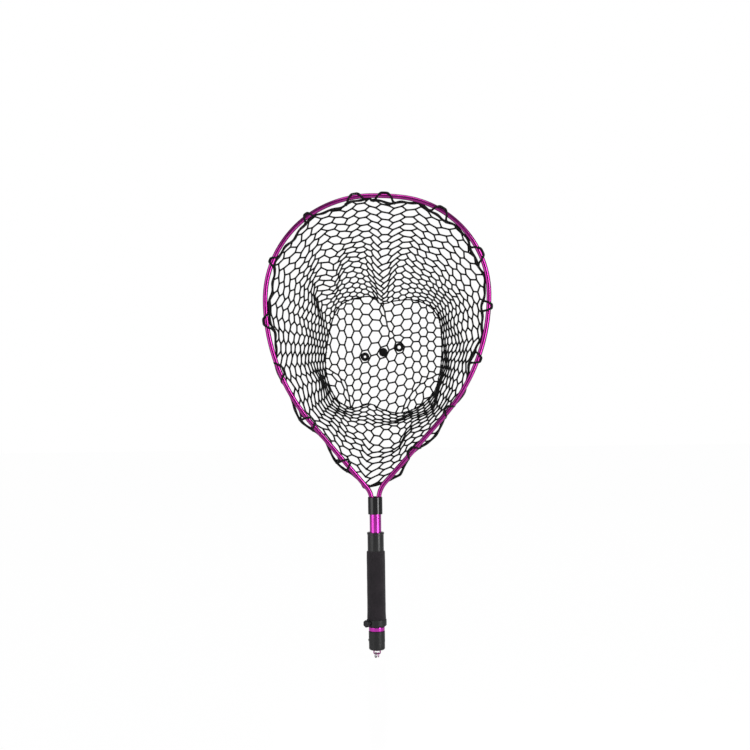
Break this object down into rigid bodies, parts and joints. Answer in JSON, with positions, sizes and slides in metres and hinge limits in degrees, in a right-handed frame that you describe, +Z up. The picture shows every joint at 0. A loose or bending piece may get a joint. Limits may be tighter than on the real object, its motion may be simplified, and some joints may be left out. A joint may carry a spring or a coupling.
{
  "type": "landing net",
  "caption": "Landing net with a teardrop tube hoop, a deep mesh bag and a short telescopic handle with a foam grip and a twist lock.",
  "frame": {"origin": "middle of the foam grip, on the handle's axis", "axes": "+Z up the handle to the hoop's crown, hoop in the XZ plane, bag towards +Y"},
  "size_m": [0.3661, 0.201, 0.7462],
  "materials": {
    "anodised_hoop": "gloss",
    "anodised_tube": "gloss",
    "bare_alloy": "satin",
    "gloss_black": "gloss",
    "satin_black": "satin",
    "moulded_nylon": "matte",
    "steel": "satin",
    "steel_black": "satin",
    "foam": "matte",
    "net": "matte",
    "net_cord": "matte"
  },
  "bodies": {
    "handle": {"outer_tube": "bare_alloy", "collar_sleeve": "moulded_nylon", "collet": "moulded_nylon", "grip": "foam", "trim_ring": "anodised_tube", "end_cap": "satin_black", "cap_screw": "steel_black", "butt_plug": "moulded_nylon", "eye_washer": "steel", "clamp_band": "satin_black"},
    "guide": {"guide_bush": "moulded_nylon"},
    "head": {"inner_tube": "anodised_tube", "foot_plug": "moulded_nylon", "foot_screw": "steel", "neck_collar": "gloss_black", "neck_plug": "moulded_nylon", "neck_rivets": "steel", "hoop_left": "anodised_hoop", "hoop_right": "anodised_hoop", "hoop_joint_pin": "bare_alloy", "net_bag": "net", "rim_loops": "net_cord"},
    "lock_ring": {"lock_collar": "gloss_black"},
    "eye": {"butt_eye": "anodised_hoop", "eye_nut": "steel"},
    "ring": {"split_ring": "steel"},
    "link": {"small_link": "anodised_hoop"},
    "thumb_screw": {"clamp_screw": "steel", "clamp_knob": "satin_black"}
  },
  "joints": [
    {"name": "telescope_slide", "type": "slide", "parent": "handle", "child": "guide", "axis": [0, 0, 1], "range_m": [0, 0.13]},
    {"name": "head_turn", "type": "hinge", "parent": "guide", "child": "head", "pos_m": [0, 0, 0.1], "axis": [0, 0, 1], "continuous": true},
    {"name": "lock_collar_twist", "type": "hinge", "parent": "handle", "child": "lock_ring", "pos_m": [0, 0, 0.075], "axis": [0, 0, 1], "range_deg": [0, 120]},
    {"name": "butt_eye_swivel", "type": "hinge", "parent": "handle", "child": "eye", "pos_m": [0, 0, -0.09], "axis": [0, 0, 1], "continuous": true},
    {"name": "split_ring_swing", "type": "hinge", "parent": "eye", "child": "ring", "pos_m": [-0.002, 0, -0.1043], "axis": [1, 0, 0], "range_deg": [-60, 60]},
    {"name": "small_link_swing", "type": "hinge", "parent": "eye", "child": "link", "pos_m": [0.002, 0, -0.1043], "axis": [1, 0, 0], "range_deg": [-60, 60]},
    {"name": "thumb_screw_turn", "type": "hinge", "parent": "handle", "child": "thumb_screw", "pos_m": [-0.01532, -0.01286, -0.0539], "axis": [-0.766, -0.6428, 0], "continuous": true}
  ]
}
